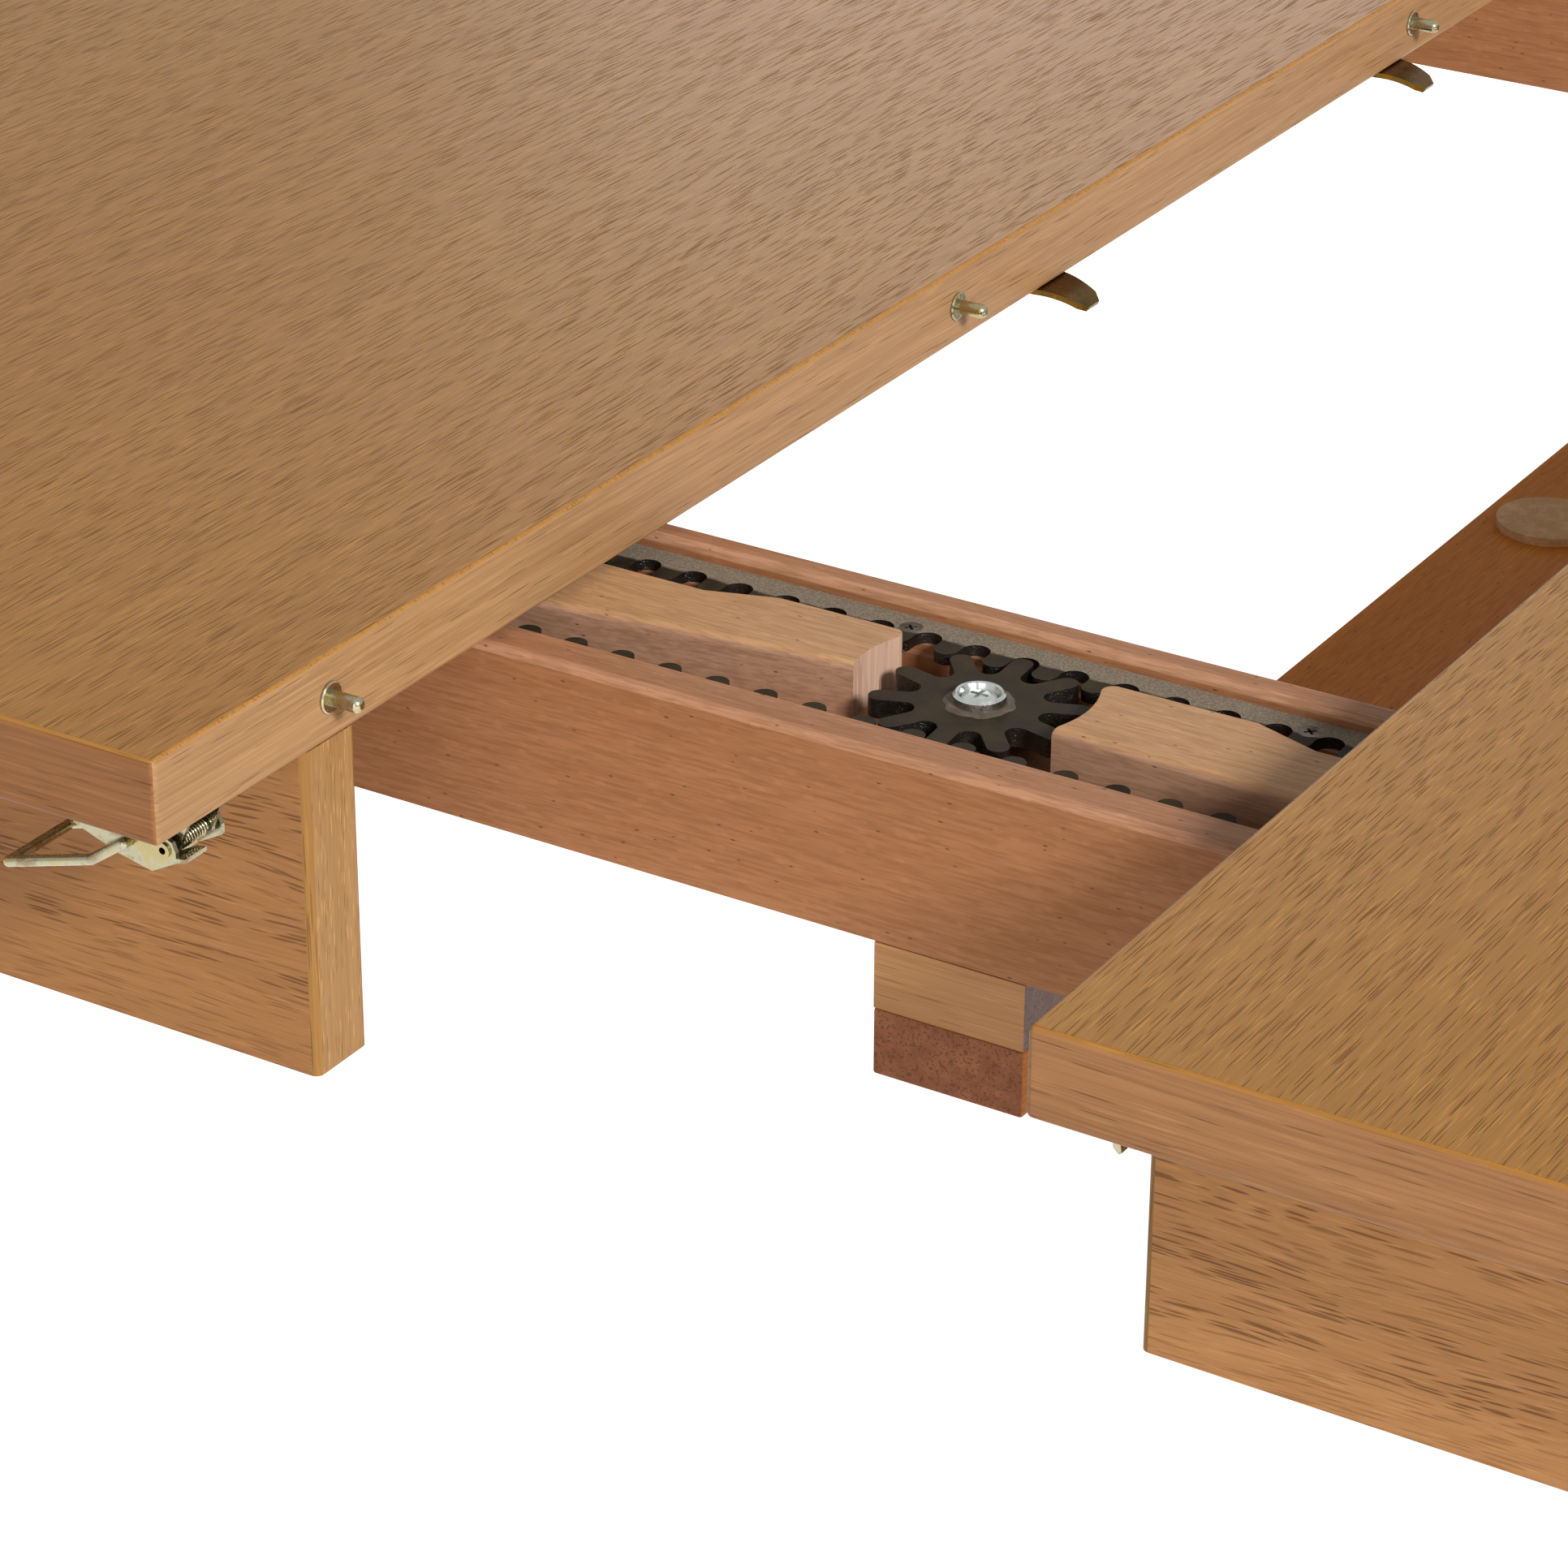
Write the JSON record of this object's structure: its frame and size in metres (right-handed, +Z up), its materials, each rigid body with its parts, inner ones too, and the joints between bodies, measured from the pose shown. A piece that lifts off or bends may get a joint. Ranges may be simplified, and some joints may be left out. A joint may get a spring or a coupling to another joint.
{
  "type": "draw leaf table",
  "caption": "Rectangular oak-veneered draw leaf table whose two halves slide apart on geared wooden slides, with tapered legs, alignment pins and draw latches.",
  "frame": {"origin": "on the floor under the middle of the opening between the two halves", "axes": "+X along the draw, from the left half to the right half; +Y across the table, from the near to the far long edge; +Z up"},
  "size_m": [2.22, 1, 0.75],
  "materials": {
    "oak_veneer": "satin lacquered oak veneer, grain across the table",
    "oak_lipping": "satin lacquered solid oak edge",
    "board_core": "raw chipboard with a sealed underside",
    "oak_frame": "satin lacquered oak, bold open pores",
    "beech": "planed beech",
    "slide_wood": "waxed pinkish-brown hardwood",
    "dark_wood": "dark brown hardwood",
    "light_wood": "pale planed softwood",
    "glide_plastic": "brown moulded plastic",
    "black_steel": "satin black coating on steel plate",
    "yellow_zinc": "yellow passivated zinc plate",
    "bright_zinc": "bright zinc plate",
    "screw_zinc": "clear zinc plate",
    "washer_nylon": "natural nylon",
    "felt": "pale needle felt"
  },
  "bodies": {
    "carriage": {"centre_bars": "slide_wood", "crossbar_screws": "screw_zinc", "crossbar_spacers": "light_wood", "crossbars": "dark_wood", "far_filler_blocks": "slide_wood", "felt_pads": "felt", "near_filler_blocks": "slide_wood", "pinion_cups": "bright_zinc", "pinion_screws": "bright_zinc", "pinion_washers": "washer_nylon"},
    "left_half": {"alignment_pins": "yellow_zinc", "joint_tongues": "yellow_zinc", "latch_brackets": "yellow_zinc", "latch_rivets": "yellow_zinc", "latch_springs": "yellow_zinc", "left_corner_blocks": "beech", "left_end_apron": "oak_frame", "left_far_apron": "oak_frame", "left_far_leg": "oak_frame", "left_far_rail": "slide_wood", "left_glides": "glide_plastic", "left_hardware_screws": "bright_zinc", "left_leg_bolts": "screw_zinc", "left_near_apron": "oak_frame", "left_near_leg": "oak_frame", "left_near_rail": "slide_wood", "left_packings": "slide_wood", "left_rack_screws": "screw_zinc", "left_racks": "black_steel", "left_rail_screws": "screw_zinc", "left_top_core": "board_core", "left_top_lippings": "oak_lipping", "left_top_veneer": "oak_veneer"},
    "right_half": {"alignment_sockets": "yellow_zinc", "latch_keepers": "yellow_zinc", "right_corner_blocks": "beech", "right_end_apron": "oak_frame", "right_far_apron": "oak_frame", "right_far_leg": "oak_frame", "right_far_rail": "slide_wood", "right_glides": "glide_plastic", "right_hardware_screws": "bright_zinc", "right_leg_bolts": "screw_zinc", "right_near_apron": "oak_frame", "right_near_leg": "oak_frame", "right_near_rail": "slide_wood", "right_packings": "slide_wood", "right_rack_screws": "screw_zinc", "right_racks": "black_steel", "right_rail_screws": "screw_zinc", "right_top_core": "board_core", "right_top_lippings": "oak_lipping", "right_top_veneer": "oak_veneer"},
    "near_pinion": {"near_pinion": "black_steel"},
    "far_pinion": {"far_pinion": "black_steel"},
    "near_lever": {"near_latch_lever": "yellow_zinc"},
    "far_lever": {"far_latch_lever": "yellow_zinc"},
    "near_bail": {"near_latch_bail": "yellow_zinc"},
    "far_bail": {"far_latch_bail": "yellow_zinc"}
  },
  "joints": [
    {"name": "left_draw", "type": "slide", "parent": "carriage", "child": "left_half", "axis": [-1, 0, 0], "range_m": [-0.10985, 0.15]},
    {"name": "right_draw", "type": "slide", "parent": "carriage", "child": "right_half", "axis": [1, 0, 0], "range_m": [-0.11085, 0.151]},
    {"name": "near_pinion_spin", "type": "hinge", "parent": "carriage", "child": "near_pinion", "pos_m": [0, -0.325, 0.7185], "axis": [0, 0, 1], "range_deg": [-397, 291]},
    {"name": "far_pinion_spin", "type": "hinge", "parent": "carriage", "child": "far_pinion", "pos_m": [0, 0.325, 0.7185], "axis": [0, 0, 1], "range_deg": [-291, 397]},
    {"name": "near_lever_turn", "type": "hinge", "parent": "left_half", "child": "near_lever", "pos_m": [-0.1215, -0.475, 0.718], "axis": [0, -1, 0], "range_deg": [0, 12], "stiffness_Nm_per_rad": 0.02, "springref_deg": -28.65},
    {"name": "near_bail_swing", "type": "hinge", "parent": "near_lever", "child": "near_bail", "pos_m": [-0.1313, -0.475, 0.718], "axis": [0, -1, 0], "range_deg": [-30, 158]},
    {"name": "far_lever_turn", "type": "hinge", "parent": "left_half", "child": "far_lever", "pos_m": [-0.1215, 0.475, 0.718], "axis": [0, -1, 0], "range_deg": [0, 12], "stiffness_Nm_per_rad": 0.02, "springref_deg": -28.65},
    {"name": "far_bail_swing", "type": "hinge", "parent": "far_lever", "child": "far_bail", "pos_m": [-0.1313, 0.475, 0.718], "axis": [0, -1, 0], "range_deg": [-30, 158]}
  ],
  "couplings": [
    {"joint": "right_draw", "follows": "left_draw", "ratio": 1},
    {"joint": "near_pinion_spin", "follows": "left_draw", "rad_per_m": -45.977},
    {"joint": "far_pinion_spin", "follows": "left_draw", "rad_per_m": 45.977}
  ]
}
